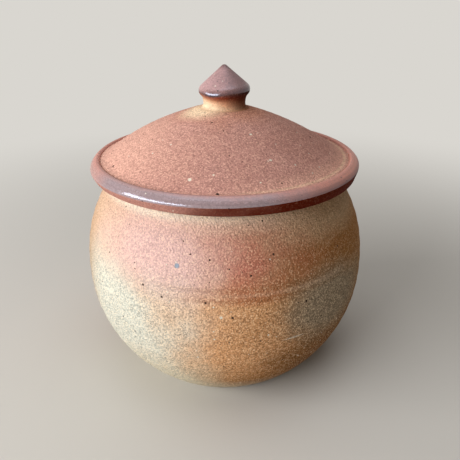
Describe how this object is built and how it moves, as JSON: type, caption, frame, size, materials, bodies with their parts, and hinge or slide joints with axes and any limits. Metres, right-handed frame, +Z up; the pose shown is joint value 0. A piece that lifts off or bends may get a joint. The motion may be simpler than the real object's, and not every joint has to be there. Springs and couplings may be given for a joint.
{
  "type": "salt pot",
  "caption": "Round-bellied stoneware salt pot on a turned foot, closed by a lift-off domed lid with a rolled edge, a locating flange and a pointed knob.",
  "frame": {"origin": "centre of the foot, on the table", "axes": "+Z up along the axis the pot was thrown on; -Y is the side that the picture shows; the part is round about Z"},
  "size_m": [0.112, 0.112, 0.1212],
  "materials": {
    "pot_stoneware": "flashed stoneware, satin, fine orange-peel grain, peach to rose and ash grey",
    "lid_stoneware": "flashed stoneware, matte rusty rose, with a glossy dark rolled edge",
    "knob_stoneware": "flashed stoneware, satin mauve brown, glossy on its edge"
  },
  "bodies": {
    "pot": {"pot": "pot_stoneware"},
    "lid": {"lid": "lid_stoneware", "knob": "knob_stoneware"}
  },
  "joints": [
    {"name": "lid_lift", "type": "slide", "parent": "pot", "child": "lid", "axis": [0, 0, 1], "range_m": [0, 0.08]}
  ]
}
